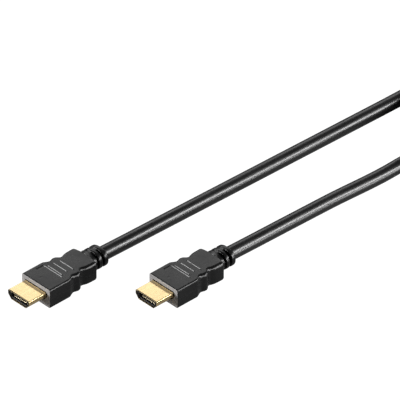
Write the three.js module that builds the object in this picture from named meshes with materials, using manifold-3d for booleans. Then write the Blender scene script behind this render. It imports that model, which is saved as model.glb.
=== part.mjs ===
// An HDMI cable: two moulded type A plugs, lying side by side, on the two ends of one round cable.
// Millimetres, +Z up. The plugs lie on the floor, z = 0, with their tips towards -X.
// The cable runs from both plugs towards +X, and the rest of it lies there in a flat round coil.
import * as THREE from "three";
import { mergeVertices } from "three/addons/utils/BufferGeometryUtils.js";
import Module from "manifold-3d";

// Moulded body of a plug, measured back from its front face.
const BODY_LENGTH = 30.5;
const BODY_WIDTH = 18.8;
const BODY_HEIGHT = 10.1;
const BODY_EDGE_RADIUS = 0.9;
const BODY_REAR_CORNER = 1.3;

// Finger grips: how far the body's sides draw in, at distances in front of the rear face.
const GRIP_PROFILE = [
  { fromRear: 17.9, drawnIn: 0 },
  { fromRear: 16.6, drawnIn: 0.55 },
  { fromRear: 15.0, drawnIn: 1.0 },
  { fromRear: 13.6, drawnIn: 0.7 },
  { fromRear: 12.3, drawnIn: 0.35 },
  { fromRear: 11.0, drawnIn: 0.75 },
  { fromRear: 9.8, drawnIn: 1.85 },
  { fromRear: 8.5, drawnIn: 2.25 },
  { fromRear: 7.1, drawnIn: 1.8 },
  { fromRear: 5.5, drawnIn: 1.4 },
  { fromRear: 3.0, drawnIn: 1.25 },
];
const GRIP_STATIONS = 30;

// Low ribs across the body's top face, in front of the rear face.
const TOUCH_RIBS = [
  { fromRear: 19.4, width: 12.6 },
  { fromRear: 18.15, width: 10.0 },
  { fromRear: 14.9, width: 9.2 },
  { fromRear: 11.6, width: 9.3 },
];
const TOUCH_RIB_LENGTH = 0.4;
const TOUCH_RIB_HEIGHT = 0.15;

// Strain relief, moulded in one with the body.
const RELIEF_LENGTH = 9.6;
const RELIEF_WIDTH = 11.5;
const RELIEF_HEIGHT = 9.2;
const RELIEF_END_ROUND = 1.0;
const RELIEF_ROOT = 3.0;
const SLOT_COUNT = 2;
const SLOT_WIDTH = 1.3;
const SLOT_PITCH = 3.3;
const SLOT_FROM_END = 2.7;
const SLOT_CORE_RADIUS = 3.9;
const SPINE_WIDTH = 3.0;

// Stamped metal shell round the contacts, with its two lower corners cut off at a slant.
const SHELL_WIDTH = 13.9;
const SHELL_HEIGHT = 4.45;
const SHELL_REACH = 10.8;
const SHELL_SIDE_HEIGHT = 2.15;
const SHELL_FLOOR_WIDTH = 9.8;
const SHELL_WALL = 0.3;
const SHELL_CORNER = 0.7;
const SHELL_BURIED = 2.7;
const SHELL_DROP = 2.45;

// Insulator inside the shell, with the slot that takes the socket's tongue.
const INSULATOR_RECESS = 0.5;
const TONGUE_SLOT_WIDTH = 10.0;
const TONGUE_SLOT_HEIGHT = 2.2;
const TONGUE_SLOT_DEPTH = 8.0;

// Contacts on the slot's ceiling and floor.
const CONTACT_PITCH = 1.0;
const CONTACTS_ABOVE = 10;
const CONTACTS_BELOW = 9;
const CONTACT_WIDTH = 0.5;
const CONTACT_HEIGHT = 0.35;
const CONTACT_SET_BACK = 0.95;

// Clearances, and how far a cut runs past the face that it opens.
const SEAT_GAP = 0.3;
const FIT_GAP = 0.1;
const OVERRUN = 2;

// The second plug lies beside the first and further back.
const PLUG_SPACING = 39.4;
const PLUG_STAGGER = 42.1;

// Cable.
const CABLE_DIAMETER = 7.0;
const CABLE_SIDES = 10;
const CABLE_STEP = 16;

// The cable's centre line from the strain relief of each plug to the coil: x, y and z.
const RUN_A_POINTS = [
  [4.4, 19.7, 5.5],
  [12, 19.6, 5.4],
  [24, 19.4, 5.1],
  [45, 19.0, 4.4],
  [75, 18.45, 3.75],
  [105, 17.95, 3.6],
  [135, 17.4, 3.6],
  [165, 16.9, 3.6],
  [180, 16.65, 3.6],
  [190.3, 16.55, 3.6],
];
const RUN_B_POINTS = [
  [46.5, -19.7, 5.5],
  [54, -19.8, 5.4],
  [66, -20.0, 5.1],
  [87, -20.4, 4.4],
  [110, -20.8, 3.75],
  [130, -21.2, 3.6],
  [148.3, -21.6, 3.8],
  [159.7, -23.9, 5.9],
  [168.3, -29.1, 8.9],
];

// Coil: three turns side by side and two high, with a tie round them.
const COIL_CENTRE = [215, -24.5];
const COIL_RADIUS = 34;
const COIL_TURNS_WIDE = 3;
const COIL_TURNS_HIGH = 2;
const COIL_SEGMENTS = 64;
const TIE_WIDTH = 10;
const TIE_THICKNESS = 1.0;

const wasm = await Module();
wasm.setup();

// The plug's own frame has its origin under the middle of the body's front face.
const REAR = BODY_LENGTH;
const RELIEF_END = REAR + RELIEF_LENGTH;
const RELIEF_AXIS_Z = BODY_HEIGHT - RELIEF_HEIGHT / 2;
const SHELL_TOP = BODY_HEIGHT - SHELL_DROP;
const SHELL_BOTTOM = SHELL_TOP - SHELL_HEIGHT;
const SHELL_MIDDLE = (SHELL_TOP + SHELL_BOTTOM) / 2;
const INSULATOR_FRONT = -SHELL_REACH + INSULATOR_RECESS;
const TONGUE_SLOT_END = INSULATOR_FRONT + TONGUE_SLOT_DEPTH;

// Turns a shape drawn in Y and Z, and extruded, so that it runs along +X.
const ALONG_X = new THREE.Matrix4().makeBasis(
  new THREE.Vector3(0, 1, 0),
  new THREE.Vector3(0, 0, 1),
  new THREE.Vector3(1, 0, 0),
);

const moulding = new THREE.MeshStandardMaterial({ color: 0x1d1e20, roughness: 0.55, metalness: 0 });
const goldPlate = new THREE.MeshStandardMaterial({ color: 0xe8c27a, roughness: 0.25, metalness: 1 });
const insulatorPlastic = new THREE.MeshStandardMaterial({ color: 0x151516, roughness: 0.6, metalness: 0 });
const contactMetal = new THREE.MeshStandardMaterial({ color: 0xe6c98c, roughness: 0.3, metalness: 1 });
const jacket = new THREE.MeshStandardMaterial({ color: 0x202123, roughness: 0.4, metalness: 0 });
const tieFabric = new THREE.MeshStandardMaterial({ color: 0x18181a, roughness: 0.9, metalness: 0 });

function solidOf(geometry) {
  const plain = geometry.clone();
  plain.deleteAttribute("normal");
  plain.deleteAttribute("uv");
  const merged = mergeVertices(plain, 1e-4);
  return new wasm.Manifold(
    new wasm.Mesh({
      numProp: 3,
      vertProperties: merged.attributes.position.array,
      triVerts: new Uint32Array(merged.index.array),
    }),
  );
}

function geometryOf(solid) {
  const made = solid.getMesh();
  return new THREE.BufferGeometry()
    .setAttribute("position", new THREE.BufferAttribute(made.vertProperties, 3))
    .setIndex(new THREE.BufferAttribute(made.triVerts, 1));
}

function named(name, geometry, material) {
  const mesh = new THREE.Mesh(geometry, material);
  mesh.name = name;
  return mesh;
}

// A box from its lowest to its highest corner.
function block(low, high) {
  const size = high.map((value, axis) => value - low[axis]);
  const centre = high.map((value, axis) => (value + low[axis]) / 2);
  return new THREE.BoxGeometry(...size).translate(...centre);
}

// A straight bar of one section, drawn in Y and Z, from one x to another.
function barAlongX(shape, fromX, toX, curveSegments = 4) {
  return new THREE.ExtrudeGeometry(shape, { depth: toX - fromX, bevelEnabled: false, curveSegments })
    .applyMatrix4(ALONG_X)
    .translate(fromX, 0, 0);
}

// A closed path through the corners, each rounded to the radius.
function roundedOutline(corners, radius, path = new THREE.Shape()) {
  const points = corners.map(([a, b]) => new THREE.Vector2(a, b));
  points.forEach((corner, i) => {
    const before = points.at(i - 1);
    const after = points[(i + 1) % points.length];
    const start = corner.clone().add(before.clone().sub(corner).setLength(radius));
    const end = corner.clone().add(after.clone().sub(corner).setLength(radius));
    if (i === 0) path.moveTo(start.x, start.y);
    else path.lineTo(start.x, start.y);
    path.quadraticCurveTo(corner.x, corner.y, end.x, end.y);
  });
  path.closePath();
  return path;
}

// The corners of a convex outline, anticlockwise, moved in by a distance.
function insetCorners(corners, distance) {
  const points = corners.map(([a, b]) => new THREE.Vector2(a, b));
  return points.map((corner, i) => {
    const into = corner.clone().sub(points.at(i - 1)).normalize();
    const away = points[(i + 1) % points.length].clone().sub(corner).normalize();
    const inward = new THREE.Vector2(-into.y, into.x);
    const slant = distance * Math.tan(into.angleTo(away) / 2);
    return [
      corner.x + inward.x * distance - into.x * slant,
      corner.y + inward.y * distance - into.y * slant,
    ];
  });
}

// The shell's outer corners in Y and Z, anticlockwise from the lower left.
function shellCorners() {
  const side = SHELL_WIDTH / 2;
  const floor = SHELL_FLOOR_WIDTH / 2;
  const shoulder = SHELL_TOP - SHELL_SIDE_HEIGHT;
  return [
    [-floor, SHELL_BOTTOM],
    [floor, SHELL_BOTTOM],
    [side, shoulder],
    [side, SHELL_TOP],
    [-side, SHELL_TOP],
    [-side, shoulder],
  ];
}

// The grips' stations along one side of the body: x, and the half width there.
function gripStations() {
  const profile = GRIP_PROFILE.map(
    ({ fromRear, drawnIn }) => new THREE.Vector2(REAR - fromRear, BODY_WIDTH / 2 - drawnIn),
  );
  return new THREE.SplineCurve(profile).getPoints(GRIP_STATIONS);
}

// The body's outline in plan, which runs on past the front face.
function bodyPlan() {
  const stations = gripStations();
  const frontSide = stations[0].y;
  const rearSide = stations.at(-1).y;
  const corner = BODY_REAR_CORNER;
  const plan = new THREE.Shape();
  plan.moveTo(-OVERRUN, frontSide);
  plan.lineTo(-OVERRUN, -frontSide);
  stations.forEach(({ x, y }) => plan.lineTo(x, -y));
  plan.lineTo(REAR - corner, -rearSide);
  plan.quadraticCurveTo(REAR, -rearSide, REAR, corner - rearSide);
  plan.lineTo(REAR, rearSide - corner);
  plan.quadraticCurveTo(REAR, rearSide, REAR - corner, rearSide);
  stations.reverse().forEach(({ x, y }) => plan.lineTo(x, y));
  return plan;
}

// The block of the body: its long edges are rounded, and its front face is cut off flat.
function bodyBlock() {
  const rounded = new THREE.ExtrudeGeometry(bodyPlan(), {
    depth: BODY_HEIGHT - 2 * BODY_EDGE_RADIUS,
    bevelEnabled: true,
    bevelThickness: BODY_EDGE_RADIUS,
    bevelSize: BODY_EDGE_RADIUS,
    bevelOffset: -BODY_EDGE_RADIUS,
    bevelSegments: 3,
    curveSegments: 4,
  }).translate(0, 0, BODY_EDGE_RADIUS);
  const front = block([-2 * OVERRUN, -BODY_WIDTH, -OVERRUN], [0, BODY_WIDTH, BODY_HEIGHT + OVERRUN]);
  return solidOf(rounded).subtract(solidOf(front));
}

// The cuts that leave the strain relief's rings standing on its core and on its two spines.
function reliefSlots() {
  const core = new THREE.CylinderGeometry(SLOT_CORE_RADIUS, SLOT_CORE_RADIUS, RELIEF_LENGTH, 24)
    .rotateZ(Math.PI / 2)
    .translate(REAR + RELIEF_LENGTH / 2, 0, RELIEF_AXIS_Z);
  const spine = block([REAR, -SPINE_WIDTH / 2, -OVERRUN], [RELIEF_END, SPINE_WIDTH / 2, BODY_HEIGHT + OVERRUN]);
  const kept = solidOf(core).add(solidOf(spine));
  return Array.from({ length: SLOT_COUNT }, (_, i) => {
    const end = RELIEF_END - SLOT_FROM_END - i * SLOT_PITCH;
    const slab = block([end - SLOT_WIDTH, -RELIEF_WIDTH, -OVERRUN], [end, RELIEF_WIDTH, BODY_HEIGHT + OVERRUN]);
    return solidOf(slab).subtract(kept);
  });
}

function strainRelief() {
  const oval = new THREE.Shape();
  oval.absellipse(0, RELIEF_AXIS_Z, RELIEF_WIDTH / 2, RELIEF_HEIGHT / 2, 0, 2 * Math.PI);
  const tube = new THREE.ExtrudeGeometry(oval, {
    depth: RELIEF_LENGTH + RELIEF_ROOT - 2 * RELIEF_END_ROUND,
    bevelEnabled: true,
    bevelThickness: RELIEF_END_ROUND,
    bevelSize: RELIEF_END_ROUND,
    bevelOffset: -RELIEF_END_ROUND,
    bevelSegments: 3,
    curveSegments: 32,
  })
    .applyMatrix4(ALONG_X)
    .translate(REAR - RELIEF_ROOT + RELIEF_END_ROUND, 0, 0);
  return reliefSlots().reduce((solid, slot) => solid.subtract(slot), solidOf(tube));
}

// The low ribs across the body's top face.
function touchRibs() {
  return TOUCH_RIBS.map(({ fromRear, width }) => {
    const x = REAR - fromRear;
    const low = [x - TOUCH_RIB_LENGTH / 2, -width / 2, BODY_HEIGHT - BODY_EDGE_RADIUS];
    const high = [x + TOUCH_RIB_LENGTH / 2, width / 2, BODY_HEIGHT + TOUCH_RIB_HEIGHT];
    return solidOf(block(low, high));
  });
}

function plugBody() {
  const pocket = roundedOutline(insetCorners(shellCorners(), -SEAT_GAP), SHELL_CORNER);
  const pocketEnd = SHELL_BURIED + SEAT_GAP;
  const pocketSolid = solidOf(barAlongX(pocket, -OVERRUN, pocketEnd));
  return touchRibs()
    .reduce((solid, rib) => solid.add(rib), bodyBlock())
    .add(strainRelief())
    .subtract(pocketSolid);
}

function plugShell() {
  const outline = roundedOutline(shellCorners(), SHELL_CORNER);
  const inside = insetCorners(shellCorners(), SHELL_WALL);
  outline.holes.push(roundedOutline(inside, SHELL_CORNER - SHELL_WALL, new THREE.Path()));
  return barAlongX(outline, -SHELL_REACH, SHELL_BURIED);
}

function plugInsulator() {
  const corners = insetCorners(shellCorners(), SHELL_WALL + FIT_GAP);
  const filler = solidOf(barAlongX(roundedOutline(corners, SHELL_CORNER - SHELL_WALL), INSULATOR_FRONT, SHELL_BURIED));
  const slot = block(
    [INSULATOR_FRONT - OVERRUN, -TONGUE_SLOT_WIDTH / 2, SHELL_MIDDLE - TONGUE_SLOT_HEIGHT / 2],
    [TONGUE_SLOT_END, TONGUE_SLOT_WIDTH / 2, SHELL_MIDDLE + TONGUE_SLOT_HEIGHT / 2],
  );
  return filler.subtract(solidOf(slot));
}

// One row of contacts: each lies against the slot's ceiling or floor and runs back to its end wall.
function contactRow(count, above) {
  const wallZ = SHELL_MIDDLE + ((above ? 1 : -1) * TONGUE_SLOT_HEIGHT) / 2;
  const innerZ = wallZ - (above ? 1 : -1) * CONTACT_HEIGHT;
  return Array.from({ length: count }, (_, i) => {
    const y = (i - (count - 1) / 2) * CONTACT_PITCH;
    return block(
      [INSULATOR_FRONT + CONTACT_SET_BACK, y - CONTACT_WIDTH / 2, Math.min(wallZ, innerZ)],
      [TONGUE_SLOT_END, y + CONTACT_WIDTH / 2, Math.max(wallZ, innerZ)],
    );
  });
}

function plug(prefix, x, y) {
  const group = new THREE.Group();
  group.add(named(`${prefix}_body`, geometryOf(plugBody()), moulding));
  group.add(named(`${prefix}_shell`, plugShell(), goldPlate));
  group.add(named(`${prefix}_insulator`, geometryOf(plugInsulator()), insulatorPlastic));
  contactRow(CONTACTS_ABOVE, true).forEach((bar, i) => {
    group.add(named(`${prefix}_contact_top_${i + 1}`, bar, contactMetal));
  });
  contactRow(CONTACTS_BELOW, false).forEach((bar, i) => {
    group.add(named(`${prefix}_contact_bottom_${i + 1}`, bar, contactMetal));
  });
  group.position.set(x, y, 0);
  return group;
}

// A round tube along the points, which starts a gap after the first one.
function cableRun(points) {
  const path = new THREE.CatmullRomCurve3(points.map((point) => new THREE.Vector3(...point)));
  const first = path.points[0];
  first.addScaledVector(path.points[1].clone().sub(first).normalize(), SEAT_GAP);
  const section = new THREE.Shape();
  for (let i = 0; i < CABLE_SIDES; i++) {
    const angle = (2 * Math.PI * i) / CABLE_SIDES;
    const corner = [(CABLE_DIAMETER / 2) * Math.cos(angle), (CABLE_DIAMETER / 2) * Math.sin(angle)];
    if (i === 0) section.moveTo(...corner);
    else section.lineTo(...corner);
  }
  return new THREE.ExtrudeGeometry(section, {
    steps: Math.ceil(path.getLength() / CABLE_STEP),
    extrudePath: path,
    bevelEnabled: false,
  });
}

const coilWidth = COIL_TURNS_WIDE * CABLE_DIAMETER;
const coilHeight = COIL_TURNS_HIGH * CABLE_DIAMETER;
const coilInner = COIL_RADIUS - coilWidth / 2;
const coilOuter = COIL_RADIUS + coilWidth / 2;

// The coil's ring, with a notch under it for the tie.
function coilRing() {
  const section = roundedOutline(
    [
      [coilInner, 0],
      [coilOuter, 0],
      [coilOuter, coilHeight],
      [coilInner, coilHeight],
    ],
    CABLE_DIAMETER / 2,
  );
  const profile = section.getPoints(3);
  profile.push(profile[0].clone());
  const ring = new THREE.LatheGeometry(profile, COIL_SEGMENTS).rotateX(Math.PI / 2);
  const half = TIE_WIDTH / 2 + SEAT_GAP;
  const notch = block([0, -half, -OVERRUN], [coilOuter + OVERRUN, half, TIE_THICKNESS + SEAT_GAP]);
  return solidOf(ring).subtract(solidOf(notch));
}

// The tie: a flat strap closed round all the turns.
function coilTie() {
  const nearWall = Math.sqrt(coilInner ** 2 - (TIE_WIDTH / 2) ** 2) - SEAT_GAP;
  const farWall = coilOuter + SEAT_GAP;
  const inside = [
    [nearWall, TIE_THICKNESS],
    [farWall, TIE_THICKNESS],
    [farWall, TIE_THICKNESS + coilHeight],
    [nearWall, TIE_THICKNESS + coilHeight],
  ];
  const strap = roundedOutline(insetCorners(inside, -TIE_THICKNESS), TIE_THICKNESS * 2);
  strap.holes.push(roundedOutline(inside, TIE_THICKNESS, new THREE.Path()));
  return new THREE.ExtrudeGeometry(strap, { depth: TIE_WIDTH, bevelEnabled: false, curveSegments: 3 })
    .rotateX(Math.PI / 2)
    .translate(0, TIE_WIDTH / 2, 0);
}

const hdmiCable = new THREE.Group();

// The two plugs together are centred over the origin.
const plugReach = SHELL_REACH + RELIEF_END;
const firstPlugX = SHELL_REACH - (plugReach + PLUG_STAGGER) / 2;
hdmiCable.add(plug("plug_a", firstPlugX, PLUG_SPACING / 2));
hdmiCable.add(plug("plug_b", firstPlugX + PLUG_STAGGER, -PLUG_SPACING / 2));

hdmiCable.add(named("cable_run_a", cableRun(RUN_A_POINTS), jacket));
hdmiCable.add(named("cable_run_b", cableRun(RUN_B_POINTS), jacket));

const coil = new THREE.Group();
coil.add(named("cable_coil", geometryOf(coilRing()), jacket));
coil.add(named("cable_tie", coilTie(), tieFabric));
coil.position.set(...COIL_CENTRE, 0);
hdmiCable.add(coil);

export default hdmiCable;
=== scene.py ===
import math

import bmesh
import bpy
import numpy as np
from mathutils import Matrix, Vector


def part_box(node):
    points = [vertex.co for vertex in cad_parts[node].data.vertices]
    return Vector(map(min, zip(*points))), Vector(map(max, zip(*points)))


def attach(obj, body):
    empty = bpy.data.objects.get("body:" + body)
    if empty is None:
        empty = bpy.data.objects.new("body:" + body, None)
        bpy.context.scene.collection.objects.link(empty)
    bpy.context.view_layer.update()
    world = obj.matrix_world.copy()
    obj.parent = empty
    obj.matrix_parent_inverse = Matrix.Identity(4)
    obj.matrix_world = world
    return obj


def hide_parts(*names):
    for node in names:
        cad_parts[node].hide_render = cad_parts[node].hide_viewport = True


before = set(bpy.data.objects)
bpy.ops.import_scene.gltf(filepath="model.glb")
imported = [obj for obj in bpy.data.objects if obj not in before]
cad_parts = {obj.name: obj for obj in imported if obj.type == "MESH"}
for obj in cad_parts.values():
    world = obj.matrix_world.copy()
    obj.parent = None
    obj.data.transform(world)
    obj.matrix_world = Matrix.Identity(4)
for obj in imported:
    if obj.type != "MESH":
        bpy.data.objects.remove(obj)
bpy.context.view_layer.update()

# Lengths are in millimetres unless a comment says metres. Meshes are made in metres.
MM = 0.001

# The camera's view: its angles, its scale, and where the first plug's front lies in the image.
VIEW_AZIMUTH = math.radians(43.1)
VIEW_ELEVATION = math.radians(36.2)
PIXELS_PER_MM = 2.21
PLUG_FRONT_IN_IMAGE = (36.0, 299.8)
IMAGE_SIDE = 400
LENS = 1500.0
SENSOR = 36.0

# Cable. Its heading is the drift to the side for each millimetre along.
CABLE_DIAMETER = 7.0
EXIT_HEIGHT = 5.3
REST_HEIGHT = CABLE_DIAMETER / 2
CABLE_HEADING = 0.0289
SAG_LENGTH = 95.0
DRIFT_START = 30.0

# Moulded body of a plug, measured back from its front face. The grip profile gives the distance
# from the front and how far each side lies in there.
BODY_LENGTH = 30.5
BODY_WIDTH = 18.8
BODY_HEIGHT = 10.1
EDGE_RADIUS = 0.8
GRIP_EDGE_RADIUS = 1.7
EDGES_GROW_ROUNDER = (11.5, 16.0)
FRONT_EDGE = 0.22
REAR_CORNER = 1.1
REAR_EASE = 0.1
GRIP_PROFILE = [
    (0.0, 0.0), (6.0, 0.0), (11.0, 0.0), (12.6, 0.05), (13.9, 0.55), (15.5, 1.0), (16.9, 0.7),
    (18.2, 0.35), (19.5, 0.75), (20.7, 1.85), (22.0, 2.25), (23.4, 1.8), (25.0, 1.4), (27.5, 1.25),
    (30.5, 1.25),
]
# Ribs across the top: distance from the front face, then the left and right ends.
TOP_RIBS = [(11.1, 7.0, -5.6), (12.35, 5.8, -4.2), (15.6, 5.4, -3.8), (18.9, 4.6, -4.7)]
RIB_HEIGHT = 0.19
RIB_CREST = 0.07
RIB_FOOT = 0.18
RIB_END = 0.25

# Groove beside the ribs: its start, end and side. Dimple near the front: its place, side and radius.
TOP_GROOVE = (6.7, 10.9, 6.7)
GROOVE_DEPTH = 0.16
GROOVE_RAMP = 0.2
GROOVE_SIDES = (0.1, 0.45)
TOP_DIMPLE = (3.9, 1.1, 0.42)
DIMPLE_DEPTH = 0.15

# Strain relief behind the body. Its slots leave a spine standing on two sides of the core.
RELIEF_LENGTH = 9.6
RELIEF_WIDTH = 11.5
RELIEF_HEIGHT = 9.2
RELIEF_AXIS = BODY_HEIGHT - RELIEF_HEIGHT / 2
RELIEF_SLOTS = [(2.25, 3.65), (5.55, 6.95)]
SLOT_CORE = 3.75
SPINE_ARC = (83.0, 137.0)
SPINE_EDGE = 2.0
SLOT_EDGE = 0.22
RELIEF_SQUARENESS = 2.4
RELIEF_END_ROUND = 1.1
# The hole that the cable goes into: depth from the relief's end, and gap round the cable.
RELIEF_HOLE = [(0.0, 0.45), (0.1, 0.2), (0.8, 0.12)]

# Metal shell and insulator. The tongue slot is given by width, height and depth.
SHELL_WIDTH = 13.9
SHELL_HEIGHT = 4.45
SHELL_REACH = 10.8
SHELL_SIDE_HEIGHT = 2.15
SHELL_FLOOR_WIDTH = 9.8
SHELL_WALL = 0.3
SHELL_INNER_RADII = (0.2, 0.25)
SHELL_BURIED = 2.7
SHELL_TOP_RADIUS = 0.36
SHELL_LOW_RADIUS = 0.4
LIP_DEPTH = 0.1
SHELL_BELOW_TOP = 2.45
SHELL_TOP = BODY_HEIGHT - SHELL_BELOW_TOP
SHELL_BOTTOM = SHELL_TOP - SHELL_HEIGHT
SHELL_MIDDLE = (SHELL_TOP + SHELL_BOTTOM) / 2
POCKET_GAP = 0.22
POCKET_DEPTH = 2.9
POCKET_LEAD = 0.12
POCKET_RADII = (0.75, 0.5)
INSULATOR_RECESS = 0.5
INSULATOR_GAP = 0.08
INSULATOR_EDGE = 0.15
TONGUE_SLOT = (10.0, 2.2, 8.0)
SLOT_LEAD = 0.28

# Spring contacts in the slot, ten above and nine below. The nodes take their sizes in metres.
CONTACT_SET_BACK = 1.25
CONTACT_THICKNESS = 0.16
CONTACT_RAMP = 0.45
CONTACT_SIZES = {
    "Pitch": 1.0 * MM,
    "Width": 0.5 * MM,
    "Length": 6.7 * MM,
    "Rise": 0.34 * MM,
    "Slot height": TONGUE_SLOT[1] * MM,
    "Count above": 10,
    "Count below": 9,
}

# Points in one ring of a lofted piece: those of the bottom, a side, the top and a corner's arc.
BOTTOM_STEPS = 24
SIDE_STEPS = 12
TOP_STEPS = 48
CORNER_STEPS = 6

# Rings along the body: the first one, their spacing, and how far they keep from those of a rib.
FIRST_RING = 0.9
RING_SPACING = 0.55
RING_CLEARANCE = 0.2

# Coil: three turns wide and two high. COIL_END is the angle wound, in degrees.
COIL_CENTRE = (215.0, -24.5)
COIL_RADII = (27.0, 34.0, 41.0)
COIL_LOW = REST_HEIGHT
COIL_HIGH = REST_HEIGHT + CABLE_DIAMETER
COIL_END = 1681.5
COIL_ANGLE_STEP = 4.0
COIL_CLIMB = (940, 980)
# Where the cable moves to the next turn in or out: its angles, and the change of radius.
COIL_SHIFTS = [
    (300, 340, -CABLE_DIAMETER),
    (620, 660, -CABLE_DIAMETER),
    (1260, 1300, CABLE_DIAMETER),
    (1560, 1620, CABLE_DIAMETER),
]
# The run from the first plug swings onto the outer turn between these distances before the coil's middle.
JOINING_RUN = (38, 2)

# The run from the coil to the second plug leaves the top turn straight, then bends back. Its
# heights are given at lengths along it.
LEAVING_STRAIGHT = 6.5
LEAVING_BEND = 32.0
LEAVING_ANGLE = COIL_END - 1620
LAST_HEADING = 179
LAST_SWING = 40
LEAVING_LENGTHS = (0, 6.5, 14.9, 23.3, 31.6, 39.8)
LEAVING_HEIGHTS = (10.5, 10.5, 9.9, 7.7, 5.1, 3.6)

# Tie round the coil. It starts at a share of the way round the section, and its tail overlaps it.
TIE_WIDTH = 10.0
TIE_THICKNESS = 0.8
TIE_LIFT = 1.0
TIE_LIFT_ANGLES = (6, 28)
TIE_OVERLAP = 16.0
TIE_START = 0.52
TIE_SLACK = 0.05
TIE_STEP = 0.8
TIE_STEP_UP = 3.0

# Even spacing of the points on the cable's path, and how far its ends go into the strain reliefs.
CABLE_STEP = 3.0
CABLE_BURIED = 0.7
CABLE_SECTION = {"Diameter": CABLE_DIAMETER * MM, "Sides": 32}

# Points closer than this are one point, in metres.
MERGE_DISTANCE = 1e-7

# Studio: lights and floor, in metres.
LIGHT_AIM = (0.05, 0.0, 0.0)
LIGHT_DISTANCE = 1.2
FLOOR_HALF = 3.0
FLOOR_GREY = 0.42
FLOOR_GLOW = 1.1
WORLD_STRENGTH = 0.06
DUST_COLOUR = (0.3, 0.29, 0.27)


def plug_origin(prefix):
    """Point under the middle of the body's front face, in millimetres."""
    low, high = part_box(f"{prefix}_body")
    return np.array([low.x, (low.y + high.y) / 2, 0.0]) / MM


def smooth(value, start, end):
    """0 before start, 1 after end, and a soft step between."""
    t = np.clip((np.asarray(value, float) - start) / (end - start), 0.0, 1.0)
    return t * t * (3 - 2 * t)


def put_in_scene(name, data):
    """A new object of the scene that holds this mesh, camera or light."""
    made = bpy.data.objects.new(name, data)
    bpy.context.scene.collection.objects.link(made)
    return made


def weld(mesh):
    """Joins points that lie together, and turns the faces outwards."""
    shape = bmesh.new()
    shape.from_mesh(mesh)
    bmesh.ops.remove_doubles(shape, verts=shape.verts, dist=MERGE_DISTANCE)
    bmesh.ops.recalc_face_normals(shape, faces=shape.faces)
    shape.to_mesh(mesh)
    shape.free()


def make_mesh(name, points, faces, origin=(0.0, 0.0, 0.0)):
    """A closed mesh in metres from points in millimetres."""
    mesh = bpy.data.meshes.new(name)
    placed = (np.asarray(points, float) + np.asarray(origin, float)) * MM
    mesh.from_pydata(placed.tolist(), [], faces)
    weld(mesh)
    return put_in_scene(name, mesh)


def shade(piece, material, sharp):
    """One material, and smooth shading except at edges past the sharp angle, in degrees."""
    piece.data.materials.clear()
    piece.data.materials.append(material)
    piece.data.polygons.foreach_set("use_smooth", [True] * len(piece.data.polygons))
    piece.data.set_sharp_from_angle(angle=math.radians(sharp))
    return piece


def finish_piece(piece, slot, *nodes):
    """The piece rides the root body and stands for these nodes. The slot is not used."""
    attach(piece, "root")
    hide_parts(*nodes)
    return piece


def loft(rings, closed=False):
    """Quads between rings of one length, closed round on themselves or with a fan at both ends."""
    count = len(rings[0])
    points = np.concatenate(rings)
    faces = []
    spans = len(rings) if closed else len(rings) - 1
    for i in range(spans):
        a, b = i * count, ((i + 1) % len(rings)) * count
        for j in range(count):
            k = (j + 1) % count
            faces.append((a + j, a + k, b + k, b + j))
    if not closed:
        for ring, base in ((rings[0], 0), (rings[-1], (len(rings) - 1) * count)):
            centre = len(points)
            points = np.vstack([points, np.mean(ring, axis=0)])
            faces += [(base + j, base + (j + 1) % count, centre) for j in range(count)]
    return points, faces


def rounded_outline(corners, radii, lines, arcs):
    """Points round a polygon with rounded corners. It starts after the first corner's arc."""
    corners = [np.array(c, float) for c in corners]
    count = len(corners)
    ends, curves = [], []
    for i, corner in enumerate(corners):
        into = corner - corners[i - 1]
        away = corners[(i + 1) % count] - corner
        into, away = into / np.linalg.norm(into), away / np.linalg.norm(away)
        turn = math.acos(np.clip(np.dot(into, away), -1, 1))
        reach = radii[i] * math.tan(turn / 2)
        start, end = corner - into * reach, corner + away * reach
        centre = start + radii[i] * np.array([-into[1], into[0]])
        first = math.atan2(*(start - centre)[::-1])
        steps = first + turn * np.arange(arcs[i]) / arcs[i]
        curves.append(centre + radii[i] * np.column_stack([np.cos(steps), np.sin(steps)]))
        ends.append((start, end))
    made = []
    for i in range(count):
        after = (i + 1) % count
        t = np.arange(lines[i])[:, None] / lines[i]
        made += [ends[i][1] + (ends[after][0] - ends[i][1]) * t, curves[after]]
    return np.concatenate(made)


def box_outline(half, low, high, radius):
    """The body's section: a rounded box in Y and Z."""
    corners = [(-half, low), (half, low), (half, high), (-half, high)]
    lines = [BOTTOM_STEPS, SIDE_STEPS, TOP_STEPS, SIDE_STEPS]
    return rounded_outline(corners, [radius] * 4, lines, [CORNER_STEPS] * 4)


def front_outline(inset):
    """The body's section near its front face, moved in by a distance."""
    half, high = BODY_WIDTH / 2 - inset, BODY_HEIGHT - inset
    return box_outline(half, inset, high, EDGE_RADIUS - inset / 2)


def shell_outline(inset, top_radius, low_radius):
    """The shell's section in Y and Z, moved in by a distance, with as many points as the body's."""
    side, floor = SHELL_WIDTH / 2 - inset, SHELL_FLOOR_WIDTH / 2
    top, bottom = SHELL_TOP - inset, SHELL_BOTTOM + inset
    shoulder = SHELL_TOP - SHELL_SIDE_HEIGHT
    slant = math.atan2(shoulder - SHELL_BOTTOM, SHELL_WIDTH / 2 - floor)
    floor -= inset * math.tan(slant / 2)
    shoulder += inset * math.tan((math.pi / 2 - slant) / 2)
    corners = [
        (-floor, bottom), (floor, bottom), (side, shoulder),
        (side, top), (-side, top), (-side, shoulder),
    ]
    radii = [low_radius, low_radius, low_radius, top_radius, top_radius, low_radius]
    lines = [BOTTOM_STEPS, 4, 4, TOP_STEPS, 4, 4]
    arcs = [CORNER_STEPS, CORNER_STEPS, 4, CORNER_STEPS, CORNER_STEPS, 4]
    return rounded_outline(corners, radii, lines, arcs)


def ring_at(x, outline):
    """An outline in Y and Z as a ring of points at one x."""
    return np.column_stack([np.full(len(outline), x), outline])


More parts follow.
